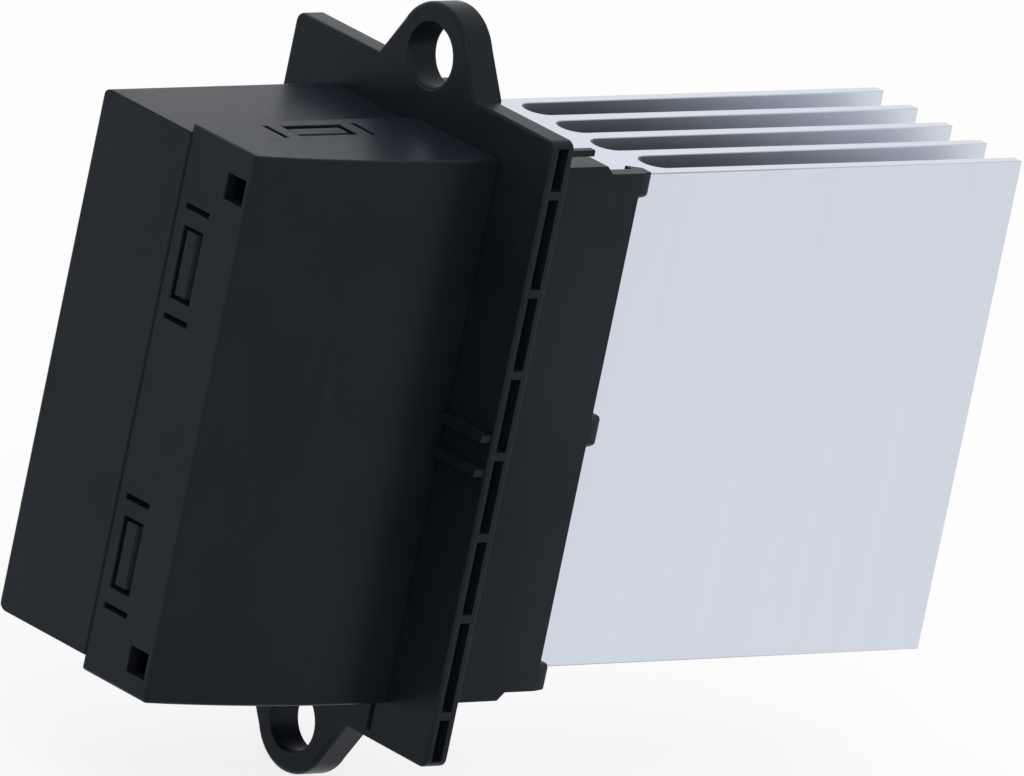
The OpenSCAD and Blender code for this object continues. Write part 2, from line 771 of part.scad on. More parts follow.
// One power transistor: a moulded case on a metal tab, with three leads down through the board
module transistor(z) {
    low = z - transistor_w / 2;
    high = z + transistor_w / 2;
    color(epoxy_black) difference() {
        union() {
            span([pad_x - case_d, case_y, low], [pad_x - tab_t / 3, tab_y, high]);
            span([pad_x - tab_t, case_y + tab_inset, low], [pad_x, tab_y + tab_h, high]);
            for (i = [-1 : 1]) translate([lead_x, 0, z + i * lead_pitch])
                span([-lead_t / 2, tail_y, -lead_w / 2], [lead_t / 2, case_y + eps, lead_w / 2]);
        }
        rod_x([pad_x - tab_t - eps, tab_screw_y, z], tab_hole_d, tab_t + 2 * eps);
    }
}

module transistor_upper() { transistor(transistor_z); }
module transistor_lower() { transistor(-transistor_z); }

module thermal_pads() {
    half = transistor_w / 2 + pad_margin;
    color(pad_grey) for (z = [-transistor_z, transistor_z]) difference() {
        span([pad_x, case_y - pad_margin, z - half], [ledge_x, tab_y + tab_h + pad_margin, z + half]);
        rod_x([pad_x - eps, tab_screw_y, z], tab_hole_d, pad_t + 2 * eps);
    }
}

// Pan-headed screw along X, with its head's underside at the origin and a cross in the head
module screw(d, len) {
    head_d = 1.85 * d;
    head_h = 0.7 * d;
    slot = 0.25 * d;
    difference() {
        union() {
            rod_x([-head_h, 0, 0], head_d, head_h);
            rod_x([-eps, 0, 0], d, len + eps);
        }
        translate([-head_h, 0, 0]) cube([head_h, slot, head_d + eps], center = true);
        translate([-head_h, 0, 0]) cube([head_h, head_d + eps, slot], center = true);
    }
}

module transistor_screws() {
    len = tab_t + pad_t + tab_screw_len;
    color(steel) for (z = [-transistor_z, transistor_z])
        translate([pad_x - tab_t, tab_screw_y, z]) screw(tab_screw_d, len);
}

module board_screws() {
    len = board_t + post_hole_depth - point_room;
    color(steel) for (p = POSTS)
        translate([p[0], board_near, p[1]]) rotate([0, 0, 90]) screw(board_screw_d, len);
}

// One terminal: a blade with a bevelled tip in the socket, and a tail soldered through the board
module terminal(row) {
    half = row[1] / 2;
    tail = tail_w / 2;
    cut = tip_bevel / 2;
    color(tinned) translate([0, 0, row[0]]) along_x(socket_mid_x - blade_t / 2, blade_t) polygon([
        [shoulder_y, -half], [tip_y - tip_bevel, -half], [tip_y, cut - half], [tip_y, half - cut],
        [tip_y - tip_bevel, half], [shoulder_y, half], [shoulder_y, tail], [tail_y, tail],
        [tail_y, -tail], [shoulder_y, -tail]]);
}

module motor_feed_blade() { terminal(TERMINALS[0]); }
module motor_return_blade() { terminal(TERMINALS[1]); }
module supply_blade() { terminal(TERMINALS[2]); }
module ground_blade() { terminal(TERMINALS[3]); }
module control_pin() { terminal(TERMINALS[4]); }
module feedback_pin() { terminal(TERMINALS[5]); }

// Place of the capacitor's lead on one side
function cap_x(side) = inner_x + side * cap_lead_pitch / 2;

// Capacitor lying on the board, with a crimped neck and two bent leads
module filter_capacitor() {
    crimp_z = cap_len / 2 - crimp_inset - crimp_w;
    bend_len = cap_lead_z - cap_len / 2 + cap_lead_d / 2;
    color(sleeve_blue) {
        difference() {
            rod_z([inner_x, cap_mid_y, -cap_len / 2], cap_d, cap_len);
            translate([inner_x, cap_mid_y, crimp_z]) difference() {
                cylinder(d = cap_d + 2 * eps, h = crimp_w);
                cylinder(d = cap_d - 2 * crimp_depth, h = crimp_w);
            }
        }
        for (side = [-1, 1]) {
            rod_z([cap_x(side), cap_mid_y, cap_len / 2 - eps], cap_lead_d, bend_len + eps);
            rod_y([cap_x(side), tail_y, cap_lead_z], cap_lead_d, cap_mid_y - tail_y);
        }
    }
}

// Ring core of the choke, which stands on its winding
module choke_core() {
    color(ferrite) translate([choke_x, choke_low, choke_z]) rotate([-90, 0, 0]) difference() {
        cylinder(d = choke_d, h = choke_core_h);
        translate([0, 0, -eps]) cylinder(d = choke_d - 2 * choke_core_w, h = choke_core_h + 2 * eps);
    }
}

// One square turn of wire round the core, at an angle about its axis
module choke_turn(angle) {
    inside = [choke_core_w + 2 * rest_gap, choke_core_h + 2 * rest_gap, choke_wire + eps];
    outside = [inside.x + 2 * choke_wire, inside.y + 2 * choke_wire, choke_wire];
    rotate([0, angle, 0]) translate([(choke_d - choke_core_w) / 2, choke_core_h / 2, 0]) difference() {
        cube(outside, center = true);
        cube(inside, center = true);
    }
}

// Winding of the choke, whose two ends go down through the board
module choke_winding() {
    lead_len = choke_low - tail_y + choke_core_h / 2;
    color(copper) {
        translate([choke_x, choke_low, choke_z])
            for (i = [0 : choke_turns - 1]) choke_turn(i * 360 / choke_turns);
        for (side = [-1, 1])
            rod_y([choke_x + side * choke_lead_x, tail_y, choke_z], choke_wire, lead_len);
    }
}

// Current shunt: a flat metal bridge with a foot through the board at each end
module current_shunt() {
    top = shunt_low + shunt_rise;
    half_t = shunt_t / 2;
    color(tinned) translate([inner_x, 0, 0]) {
        span([-shunt_w / 2, top - shunt_t, shunt_feet[0] - half_t],
            [shunt_w / 2, top, shunt_feet[1] + half_t]);
        for (z = shunt_feet) translate([0, 0, z]) {
            span([-shunt_w / 2, shunt_low, -half_t], [shunt_w / 2, top, half_t]);
            span([-shunt_foot_w / 2, tail_y, -half_t], [shunt_foot_w / 2, shunt_low + eps, half_t]);
        }
    }
}

// A flat case on the board's cover side with a row of short legs along two edges
module surface_case(z, size, legs, leg_w, leg_len) {
    half = size / 2;
    pitch = size.z / legs;
    translate([inner_x, board_near, z]) {
        span([-half.x, -size.y, -half.z], [half.x, -case_stand, half.z]);
        for (side = [-1, 1], i = [0 : legs - 1]) translate([side * half.x, 0, (i + 0.5) * pitch - half.z])
            span([-leg_len, -half.y, -leg_w / 2], [leg_len, 0, leg_w / 2]);
    }
}

module driver_chip() {
    color(epoxy_black) surface_case(0, driver_size, driver_legs, driver_leg_w, driver_leg_len);
}

module suppressor_diode() {
    color(epoxy_black) surface_case(diode_z, diode_size, 1, diode_leg_w, diode_leg_len);
}

// A row of small ceramic parts on the board's cover side, with a raised cap at each of their ends
module chip_row_of(x, size, count, pitch) {
    half = size / 2;
    cap = size.z / 5;
    for (i = [0 : count - 1]) translate([x, board_near, (i - (count - 1) / 2) * pitch]) {
        span([-half.x, -size.y, -half.z], [half.x, 0, half.z]);
        for (end = [-1, 1]) translate([0, 0, end * (size.z - cap) / 2])
            span([-half.x - chip_cap_rise, -size.y - chip_cap_rise, -cap / 2],
                [half.x + chip_cap_rise, 0, cap / 2]);
    }
}

module chip_resistors() {
    color(epoxy_black) chip_row_of(inner_x - chip_row, resistor_size, resistor_count, resistor_pitch);
}

module chip_capacitors() {
    color(ceramic_tan) chip_row_of(inner_x + chip_row, capacitor_size, capacitor_count, capacitor_pitch);
}

housing();
side_cover();
heat_sink();
circuit_board();
transistor_upper();
transistor_lower();
thermal_pads();
transistor_screws();
board_screws();
motor_feed_blade();
motor_return_blade();
supply_blade();
ground_blade();
control_pin();
feedback_pin();
filter_capacitor();
choke_core();
choke_winding();
current_shunt();
driver_chip();
suppressor_diode();
chip_resistors();
chip_capacitors();
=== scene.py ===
import math

import bmesh
import bpy
import numpy as np
from bpy.props import FloatProperty, FloatVectorProperty, PointerProperty
from mathutils import Matrix, Vector


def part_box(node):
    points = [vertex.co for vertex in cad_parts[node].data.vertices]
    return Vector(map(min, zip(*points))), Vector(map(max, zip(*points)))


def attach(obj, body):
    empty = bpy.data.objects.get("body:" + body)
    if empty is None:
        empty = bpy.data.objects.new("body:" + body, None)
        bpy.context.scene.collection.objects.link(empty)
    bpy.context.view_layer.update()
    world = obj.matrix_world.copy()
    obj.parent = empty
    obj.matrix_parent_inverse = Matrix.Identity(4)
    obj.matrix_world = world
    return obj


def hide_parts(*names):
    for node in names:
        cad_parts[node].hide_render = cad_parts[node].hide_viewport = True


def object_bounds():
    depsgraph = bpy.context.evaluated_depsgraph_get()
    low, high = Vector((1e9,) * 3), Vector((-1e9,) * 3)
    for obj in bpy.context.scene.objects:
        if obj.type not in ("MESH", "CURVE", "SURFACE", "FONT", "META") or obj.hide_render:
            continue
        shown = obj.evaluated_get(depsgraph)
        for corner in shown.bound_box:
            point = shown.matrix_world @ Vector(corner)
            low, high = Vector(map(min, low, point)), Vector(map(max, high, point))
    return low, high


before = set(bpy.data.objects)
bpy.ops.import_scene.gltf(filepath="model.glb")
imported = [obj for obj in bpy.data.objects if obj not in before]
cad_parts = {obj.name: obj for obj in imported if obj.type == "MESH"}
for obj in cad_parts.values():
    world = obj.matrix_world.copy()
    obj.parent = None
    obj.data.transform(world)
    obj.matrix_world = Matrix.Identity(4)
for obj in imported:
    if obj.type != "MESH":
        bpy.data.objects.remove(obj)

bl_info = {
    "name": "Blower motor resistor",
    "version": (1, 0, 0),
    "blender": (4, 5, 0),
    "location": "View3D > Sidebar > Resistor",
    "description": "Finishes a fan speed resistor with a finned heat sink and sets it in a small studio",
    "category": "Object",
}

CAD_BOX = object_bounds()
MM = 0.001
WHITE = (1.0, 1.0, 1.0, 1.0)

TERMINALS = ("motor_feed_blade", "motor_return_blade", "supply_blade", "ground_blade", "control_pin", "feedback_pin")
TRANSISTORS = ("transistor_upper", "transistor_lower")
SOLDERED = TERMINALS + TRANSISTORS + ("filter_capacitor", "choke_winding", "current_shunt")

# Radians that a Wave texture of scale 1 turns in one metre
WAVE_TURN = 20.0

# Rounding of the edges: points as close as SAME_POINT in metres are one, faces that meet at less than FLAT are one,
# edges sharper than SHARP get a rounding, and two edges that bend less than RUN_ON at a corner run on
SAME_POINT = 1e-7
FLAT = math.radians(0.3)
SHARP = math.radians(28)
RUN_ON = math.radians(40)
MOST_AT_CORNER = 6
ROUNDING_STEPS = 3
ROUNDING_TRIES = 12

# A face is turned over below this cosine; lesser faces than a square of this share of the fine rounding don't count,
# and a rounding below the other share is left out
TURNED_OVER = -0.35
LEAST_FACE = 0.1
LEAST_ROUNDING = 0.15

# Ranges in millimetres along X, Y or Z that tell which edges of the mouldings get which rounding
ANYWHERE = (-50.0, 50.0)
BLOCK_RIM_X, BLOCK_RIM_Y = (-40.0, -36.5), (0.5, 17.0)
BLOCK_END_X, COVER_END_X = (-37.4, -37.2), (-37.2, -37.0)
SEAM_Y = (0.1, 0.2)
SKIRT_RIM_X, HOOK_X = (17.4, 20.0), (17.5, 20.0)
HOOK_SIDES = ((-17.5, -15.4), (15.4, 17.5))
HOOK_SPANS = ((-32.1, -28.7), (-2.0, 2.0), (28.7, 32.1))
FLANGE_BACK_X, POCKET_X = (-3.3, -3.1), (-2.5, -0.7)
SEAT_X, SEAT_TO_PAD_X = (-0.1, 0.1), (-0.1, 1.1)
FLANGE_ENDS = ((-48.0, -37.2), (37.2, 48.0))
FLANGE_SIDES = ((-24.0, -23.4), (23.4, 24.0))
EAR_Y = (-9.2, 9.2)
EAR_HOLE_X, EAR_HOLE_Y = (-3.3, 1.1), (-4.2, 4.2)
EAR_HOLES = ((-45.2, -36.8), (36.8, 45.2))
COVER_CORNER_X, COVER_CORNER_Y = (-37.2, -36.9), (-12.6, -11.4)
COVER_BOW_X, COVER_BOW_Y = (-37.2, -3.0), (-16.0, -11.4)
COVER_END_Y = (-12.6, 0.2)
COVER_SIDES = ((-33.6, -33.4), (33.4, 33.6))
COVER_FOOT_X = (-3.5, -3.2)

# Roundings as multiples of a rim's or of a fine one
COVER_CORNER_SHARE = 2.0
COVER_BOW_SHARE = 1.3
SEAM_SHARE = 2.0

# Leads are soldered where they reach past the board, and are apart where a gap lies between them
LEAD_REACH = 0.5 * MM
LEAD_GAP = 1 * MM

# Bare metal of a power transistor: legs above the board, tab above the case, and the plate at its back
LEG_LENGTH = 4.6 * MM
TAB_LENGTH = 6.4 * MM
TAB_THICKNESS = 1.3 * MM

# Half the floor's width in metres, and the camera at the photograph's viewing angle
FLOOR_HALF = 6.0
CAMERA_AT = Vector((-2.16778, -2.34219, 0.89331))
CAMERA_FORWARD = Vector((0.65757, 0.70387, -0.26864))
CAMERA_UP = Vector((0.0299, 0.33191, 0.94284))
CAMERA_SENSOR = 36.0
CAMERA_CLIP = (0.1, 20.0)


class PlasticLook(bpy.types.PropertyGroup):
    """Finish of the black mouldings."""

    colour: FloatVectorProperty(
        name="Colour", description="Colour of the black plastic", subtype="COLOR", size=3, min=0.0, max=1.0,
        default=(0.0060, 0.0074, 0.0098))
    sheen: FloatProperty(
        name="Shine", description="Strength of the plastic's reflections", subtype="FACTOR", min=0.0, max=1.0,
        default=0.12)
    sheen_tint: FloatVectorProperty(
        name="Shine tint", description="Colour of the plastic's reflections", subtype="COLOR", size=3,
        min=0.0, max=1.0, default=(0.72, 0.87, 1.0))
    haze: FloatProperty(
        name="Haze", description="Strength of the bluish haze that the grain shows at flat angles",
        subtype="FACTOR", min=0.0, max=1.0, default=0.045)
    haze_tint: FloatVectorProperty(
        name="Haze tint", description="Colour of that haze", subtype="COLOR", size=3, min=0.0, max=1.0,
        default=(0.25, 0.50, 1.0))
    roughness: FloatProperty(
        name="Roughness", description="Blur of the plastic's reflections", subtype="FACTOR", min=0.0, max=1.0,
        default=0.34)
    grain: FloatProperty(
        name="Grain", description="Size of the fine grain left by the mould", unit="LENGTH", min=0.0,
        default=0.25 * MM)
    fine_edge: FloatProperty(
        name="Fine edges", description="Width of the rounding on windows, pockets and other small forms",
        unit="LENGTH", min=0.0, default=0.10 * MM)
    rim_edge: FloatProperty(
        name="Rims", description="Width of the rounding on the flange's long edges and the box's outer edges",
        unit="LENGTH", min=0.0, default=0.35 * MM)
    ear_edge: FloatProperty(
        name="Ear edges", description="Width of the rounding on the back of the ears", unit="LENGTH", min=0.0,
        default=0.65 * MM)
    hook_edge: FloatProperty(
        name="Hook edges", description="Width of the rounding on the outer edges of the hooks' tips", unit="LENGTH",
        min=0.0, default=0.55 * MM)


class MetalLook(bpy.types.PropertyGroup):
    """Finish of the heat sink, the terminals and the screws."""

    aluminium: FloatVectorProperty(
        name="Aluminium", description="Colour of the extruded heat sink", subtype="COLOR", size=3, min=0.0, max=1.0,
        default=(0.675, 0.715, 0.785))
    roughness: FloatProperty(
        name="Roughness", description="Blur of the heat sink's reflections", subtype="FACTOR", min=0.0, max=1.0,
        default=0.42)
    line: FloatProperty(
        name="Die lines", description="Spacing of the lines that the extrusion die leaves", unit="LENGTH", min=0.0,
        default=0.2 * MM)
    outer_fin: FloatProperty(
        name="Outer fins", description="Half the distance between the middles of the two outer fins", unit="LENGTH",
        min=0.0, default=12.6 * MM)
    sink_edge: FloatProperty(
        name="Heat sink edges", description="Width of the rounding on the heat sink's edges", unit="LENGTH", min=0.0,
        default=0.14 * MM)
    tin: FloatVectorProperty(
        name="Tin", description="Colour of the tinned terminals", subtype="COLOR", size=3, min=0.0, max=1.0,
        default=(0.66, 0.65, 0.61))
    zinc: FloatVectorProperty(
        name="Zinc", description="Colour of the plated screws", subtype="COLOR", size=3, min=0.0, max=1.0,
        default=(0.55, 0.56, 0.57))
    copper: FloatVectorProperty(
        name="Copper", description="Colour of the choke's enamelled wire", subtype="COLOR", size=3, min=0.0, max=1.0,
        default=(0.52, 0.17, 0.06))
    terminal_edge: FloatProperty(
        name="Terminal edges", description="Width of the rounding on blades and pins", unit="LENGTH", min=0.0,
        default=0.08 * MM)


class InnerLook(bpy.types.PropertyGroup):
    """Finish of the pieces inside the box."""

    laminate: FloatVectorProperty(
        name="Board", description="Colour of the board's lacquer", subtype="COLOR", size=3, min=0.0, max=1.0,
        default=(0.008, 0.075, 0.028))
    epoxy: FloatVectorProperty(
        name="Epoxy", description="Colour of the moulded cases", subtype="COLOR", size=3, min=0.0, max=1.0,
        default=(0.011, 0.011, 0.012))
    sleeve: FloatVectorProperty(
        name="Sleeve", description="Colour of the capacitor's sleeve", subtype="COLOR", size=3, min=0.0, max=1.0,
        default=(0.018, 0.022, 0.09))
    ferrite: FloatVectorProperty(
        name="Ferrite", description="Colour of the choke's core", subtype="COLOR", size=3, min=0.0, max=1.0,
        default=(0.035, 0.037, 0.04))
    pad: FloatVectorProperty(
        name="Thermal pad", description="Colour of the thermal pads", subtype="COLOR", size=3, min=0.0, max=1.0,
        default=(0.60, 0.60, 0.57))
    ceramic: FloatVectorProperty(
        name="Ceramic", description="Colour of the chip capacitors", subtype="COLOR", size=3, min=0.0, max=1.0,
        default=(0.42, 0.27, 0.14))
    solder_height: FloatProperty(
        name="Solder height", description="Height of a solder joint on the board", unit="LENGTH", min=0.0,
        default=0.8 * MM)


class StudioLook(bpy.types.PropertyGroup):
    """Floor, light and lens of the studio."""

    floor: FloatVectorProperty(
        name="Floor", description="Colour of the floor", subtype="COLOR", size=3, min=0.0, max=1.0,
        default=(0.95, 0.95, 0.95))
    floor_glow: FloatProperty(
        name="Floor glow", description="Share of plain white in the floor, which softens the shadow",
        subtype="FACTOR", min=0.0, max=1.0, default=0.82)
    room: FloatProperty(
        name="Room light", description="Strength of the even light from all round", min=0.0, default=0.80)
    overhead: FloatProperty(
        name="Overhead light", description="Power of the soft light above", subtype="POWER", min=0.0, default=1.6)
    side: FloatProperty(
        name="Side light", description="Power of the soft light on the left", subtype="POWER", min=0.0, default=3.4)
    lens: FloatProperty(
        name="Lens", description="Focal length of the camera", subtype="DISTANCE_CAMERA", min=1.0, default=1000.0)


class ResistorLook(bpy.types.PropertyGroup):
    """All the settings of the scene."""

    plastic: PointerProperty(type=PlasticLook, name="Plastic", description="Finish of the black mouldings")
    metal: PointerProperty(type=MetalLook, name="Metal", description="Finish of the metal pieces")
    inner: PointerProperty(type=InnerLook, name="Inside", description="Finish of the pieces inside the box")
    studio: PointerProperty(type=StudioLook, name="Studio", description="Floor, light and lens")


class Signal:
    """A node's output that takes part in Python expressions. Each operator adds one Math node."""

    def __init__(self, work, socket):
        self.work = work
        self.socket = socket

    def math(self, operation, first, second=0.0):
        return self.work.node("ShaderNodeMath", {"operation": operation}, {0: first, 1: second})

    def __add__(self, other):
        return self.math("ADD", self, other)

    def __sub__(self, other):
        return self.math("SUBTRACT", self, other)

    def __rsub__(self, other):
        return self.math("SUBTRACT", other, self)

    def __mul__(self, other):
        return self.math("MULTIPLY", self, other)

    def __gt__(self, other):
        return self.math("GREATER_THAN", self, other)

    def __lt__(self, other):
        return self.math("LESS_THAN", self, other)

    def __or__(self, other):
        return self.math("MAXIMUM", self, other)

    def __abs__(self):
        return self.math("ABSOLUTE", self)

    __radd__ = __add__
    __rmul__ = __mul__
    __ror__ = __or__


class NodeWork:
    """A node tree while it is put together."""

    def __init__(self, tree):
        self.tree = tree
        tree.nodes.clear()

    def node(self, kind, settings, sockets, output=0):
        """Adds a node of one type, with its settings first and then the values or links of its sockets."""
        made = self.tree.nodes.new(kind)
        for key, value in settings.items():
            setattr(made, key, value)
        for key, value in sockets.items():
            if isinstance(value, Signal):
                self.tree.links.new(value.socket, made.inputs[key])
            else:
                made.inputs[key].default_value = value
        return Signal(self, made.outputs[output])

    def place(self):
        """Coordinates of the piece's own frame, in metres."""
        return self.node("ShaderNodeTexCoord", {}, {}, "Object")

    def axis(self, vector, name):
        """One part of a vector."""
        return self.node("ShaderNodeSeparateXYZ", {}, {"Vector": vector}, name)

    def facing(self, name):
        """One part of the surface's direction."""
        return self.axis(self.node("ShaderNodeNewGeometry", {}, {}, "True Normal"), name)

    def stretch(self, vector, scale):
        """Coordinates in which a pattern is longer along the axes whose scale is small."""
        return self.node("ShaderNodeMapping", {"vector_type": "POINT"}, {"Vector": vector, "Scale": scale})

    def noise(self, vector, size, detail):
        """Cloudy pattern between 0 and 1 whose clouds are about this size in metres."""
        sockets = {"Vector": vector, "Scale": 1.0 / size, "Detail": detail}
        return self.node("ShaderNodeTexNoise", {"noise_dimensions": "3D"}, sockets, "Fac")

    def cells(self, vector, size, output):
        """Cells of about this size in metres: the distance from their middles, or a colour for each."""
        sockets = {"Vector": vector, "Scale": 1.0 / size}
        return self.node("ShaderNodeTexVoronoi", {"voronoi_dimensions": "3D"}, sockets, output)

    def bands(self, vector, axis, pitch, distortion=0.0):
        """Even bands across one axis, this far apart in metres."""
        settings = {"wave_type": "BANDS", "bands_direction": axis}
        scale = math.tau / WAVE_TURN / pitch
        sockets = {"Vector": vector, "Scale": scale, "Distortion": distortion, "Detail Scale": 4.0}
        return self.node("ShaderNodeTexWave", settings, sockets, "Fac")

    def ramp(self, value, low, high):
        """Smooth rise from 0 to 1 while the value goes from low to high."""
        settings = {"interpolation_type": "SMOOTHSTEP"}
        return self.node("ShaderNodeMapRange", settings, {"Value": value, "From Min": low, "From Max": high})

    def blend(self, factor, first, second):
        """Colour between two colours."""
        first, second = (c if isinstance(c, Signal) else (*c, 1.0) for c in (first, second))
        settings = {"data_type": "RGBA", "clamp_factor": True}
        return self.node("ShaderNodeMix", settings, {0: factor, 6: first, 7: second}, 2)

    def bump(self, height, depth):
        """Surface direction for a relief of this depth in metres."""
        return self.node("ShaderNodeBump", {}, {"Height": height, "Distance": depth, "Strength": 1.0})

    def output(self, surface, kind="ShaderNodeOutputMaterial"):
        """Ends the tree with its output node."""
        made = self.tree.nodes.new(kind)
        self.tree.links.new(surface.socket, made.inputs["Surface"])


def new_material(name):
    """Material with an empty node tree to fill."""
    material = bpy.data.materials.new(name)
    material.use_nodes = True
    return material, NodeWork(material.node_tree)


def tint(colour, share):
    """A colour made lighter or darker by a share of itself."""
    return tuple(min(1.0, c * share) for c in colour)


def moulded_plastic(look):
    """Satin black moulding: fine mould grain, faint flow clouds, and a few pale specks of dust."""
    material, work = new_material("moulded_plastic")
    speck_gap = 9 * MM
    place = work.place()
    flow = work.noise(place, 18 * MM, 3.0)
    grain = work.noise(place, look.grain, 2.0)
    scuff = work.ramp(work.noise(work.stretch(place, (1.0, 1.0, 0.25)), 2.5 * MM, 5.0), 0.60, 0.78)
    speck_near = work.cells(place, speck_gap, "Distance") < 0.018
    speck_some = work.axis(work.cells(place, speck_gap, "Color"), "X") > 0.86
    colour = work.blend(work.ramp(flow, 0.3, 0.7), tint(look.colour, 0.86), tint(look.colour, 1.14))
    colour = work.blend(scuff * 0.35, colour, tint(look.colour, 1.7))
    colour = work.blend(speck_near * speck_some * 0.5, colour, (0.16, 0.15, 0.14))
    rough = look.roughness + (flow - 0.5) * 0.10 + (grain - 0.5) * 0.12 + scuff * 0.05
    work.output(work.node("ShaderNodeBsdfPrincipled", {}, {
        "Base Color": colour, "Roughness": rough, "Specular IOR Level": look.sheen,
        "Specular Tint": (*look.sheen_tint, 1.0), "Sheen Weight": look.haze, "Sheen Roughness": 0.35,
        "Sheen Tint": (*look.haze_tint, 1.0), "Normal": work.bump(grain * 0.8 + flow * 0.2, 0.008 * MM)}))
    return material


def extruded_aluminium(look):
    """Plain aluminium: die lines along the extrusion, saw marks on its two cut ends, a painted darker reflection on
    the rounded edges along them, and painted shade between the fins that darkens towards their roots."""
    material, work = new_material("extruded_aluminium")
    darkest, lightest = 30 * MM, 66 * MM
    place = work.place()
    drawn = work.stretch(place, (1.0, 1.0, 0.006))
    fine = work.noise(drawn, look.line, 3.0)
    broad = work.noise(drawn, 12 * look.line, 2.0)
    cloud = work.noise(place, 22 * MM, 3.0)
    cut = work.ramp(abs(work.facing("Z")), 0.6, 0.8)
    saw = work.bands(place, "X", 0.45 * MM, 1.5)
    line = work.blend(cut, fine, saw)
    # Painted shade on the inner fin faces: darkest near the roots, fading out towards the tips
    inside = work.ramp(abs(work.facing("Y")), 0.4, 0.6) * (abs(work.axis(place, "Y")) < look.outer_fin)
    painted_root_shade = 1.0 - work.ramp(work.axis(place, "X"), darkest, lightest)
    # Painted darker reflection on the rounded edges between the fin faces and the cut ends
    edge = work.ramp(abs(work.facing("Y")) * abs(work.facing("Z")), 0.2, 0.4)
    shade = work.ramp(broad * 0.6 + cloud * 0.4, 0.35, 0.65)
    colour = work.blend(shade, tint(look.aluminium, 0.982), look.aluminium)
    colour = work.blend(work.ramp(fine, 0.62, 0.80) * 0.15, colour, tint(look.aluminium, 0.86))
    colour = work.blend(inside * painted_root_shade * 0.5, colour, tint(look.aluminium, 0.02))
    colour = work.blend(edge * 0.5, colour, tint(look.aluminium, 0.45))
    rough = look.roughness + (fine - 0.5) * 0.14 + (cloud - 0.5) * 0.08 + cut * 0.06
    work.output(work.node("ShaderNodeBsdfPrincipled", {}, {
        "Base Color": colour, "Metallic": 1.0, "Roughness": rough, "Normal": work.bump(line, 0.004 * MM)}))
    return material


def plated(name, colour, roughness, patch):
    """Plated metal: a mottled bright skin with dull patches of the given size and fine scratches."""
    material, work = new_material(name)
    place = work.place()
    mottle = work.noise(place, patch, 4.0)
    scratch = work.noise(work.stretch(place, (1.0, 0.05, 1.0)), 0.12 * MM, 2.0)
    dull = work.ramp(mottle, 0.52, 0.70)
    base = work.blend(dull * 0.5, colour, tint(colour, 0.72))
    rough = roughness + dull * 0.16 + (scratch - 0.5) * 0.14
    work.output(work.node("ShaderNodeBsdfPrincipled", {}, {
        "Base Color": base, "Metallic": 1.0, "Roughness": rough,
        "Normal": work.bump(mottle * 0.6 + scratch * 0.4, 0.006 * MM)}))
    return material


def moulded_case(name, colour, metal_mask, tin):
    """Moulded part with metal ends or legs. The mask gives, from the piece's own coordinates, where the metal is."""
    material, work = new_material(name)
    place = work.place()
    grain = work.noise(place, 0.12 * MM, 3.0)
    mottle = work.noise(place, 1.6 * MM, 3.0)
    metal = metal_mask(work, place)
    body = work.blend(work.ramp(mottle, 0.3, 0.7), tint(colour, 0.85), tint(colour, 1.25))
    skin = work.blend(work.ramp(mottle, 0.45, 0.7), tin, tint(tin, 0.78))
    work.output(work.node("ShaderNodeBsdfPrincipled", {}, {
        "Base Color": work.blend(metal, body, skin), "Metallic": metal,
        "Roughness": 0.55 + (grain - 0.5) * 0.2 - metal * 0.22,
        "Normal": work.bump(grain, 0.01 * MM)}))
    return material


def lacquered_board(colour):
    """Glass laminate under green lacquer, with raised tracks in two directions and a woven cut edge."""
    material, work = new_material("lacquered_board")
    track_pitch, thread = 1.3 * MM, 0.5 * MM
    place = work.place()
    patch = work.axis(work.cells(work.stretch(place, (1.0, 0.02, 1.0)), 9 * MM, "Color"), "X")
    rows = work.ramp(work.bands(place, "Z", track_pitch), 0.45, 0.60)
    columns = work.ramp(work.bands(place, "X", track_pitch), 0.45, 0.60)
    upright = patch > 0.55
    track = rows * upright + columns * (1.0 - upright)
    weave = work.bands(place, "X", thread) * 0.5 + work.bands(place, "Z", thread) * 0.5
    cut = work.ramp(abs(work.facing("Y")), 0.8, 0.6)
    face = work.blend(track, colour, tint(colour, 1.9))
    edge = work.blend(weave, (0.22, 0.24, 0.10), (0.33, 0.35, 0.18))
    work.output(work.node("ShaderNodeBsdfPrincipled", {}, {
        "Base Color": work.blend(cut, face, edge), "Roughness": 0.32 + cut * 0.4 + (weave - 0.5) * 0.1,
        "Normal": work.bump(track * (1.0 - cut) + weave * 0.15, 0.02 * MM)}))
    return material


def woven_pad(colour):
    """Soft thermal sheet with a fine glass weave."""
    material, work = new_material("woven_pad")
    thread = 0.4 * MM
    place = work.place()
    weave = work.bands(place, "Y", thread) * 0.5 + work.bands(place, "Z", thread) * 0.5
    smear = work.noise(place, 3 * MM, 4.0)
    work.output(work.node("ShaderNodeBsdfPrincipled", {}, {
        "Base Color": work.blend(work.ramp(smear, 0.3, 0.7), tint(colour, 0.9), colour),
        "Roughness": 0.75 + (weave - 0.5) * 0.12, "Normal": work.bump(weave, 0.02 * MM)}))
    return material


def sintered_ferrite(colour):
    """Dark sintered core with fine pores and a slight gloss."""
    material, work = new_material("sintered_ferrite")
    place = work.place()
    pore = work.ramp(work.cells(place, 0.22 * MM, "Distance"), 0.18, 0.30)
    mottle = work.noise(place, 1.2 * MM, 4.0)
    shade = work.blend(work.ramp(mottle, 0.35, 0.65), tint(colour, 0.8), tint(colour, 1.3))
    work.output(work.node("ShaderNodeBsdfPrincipled", {}, {
        "Base Color": work.blend(pore, tint(colour, 0.5), shade), "Roughness": 0.46 + (mottle - 0.5) * 0.2,
        "Normal": work.bump(pore, 0.01 * MM)}))
    return material


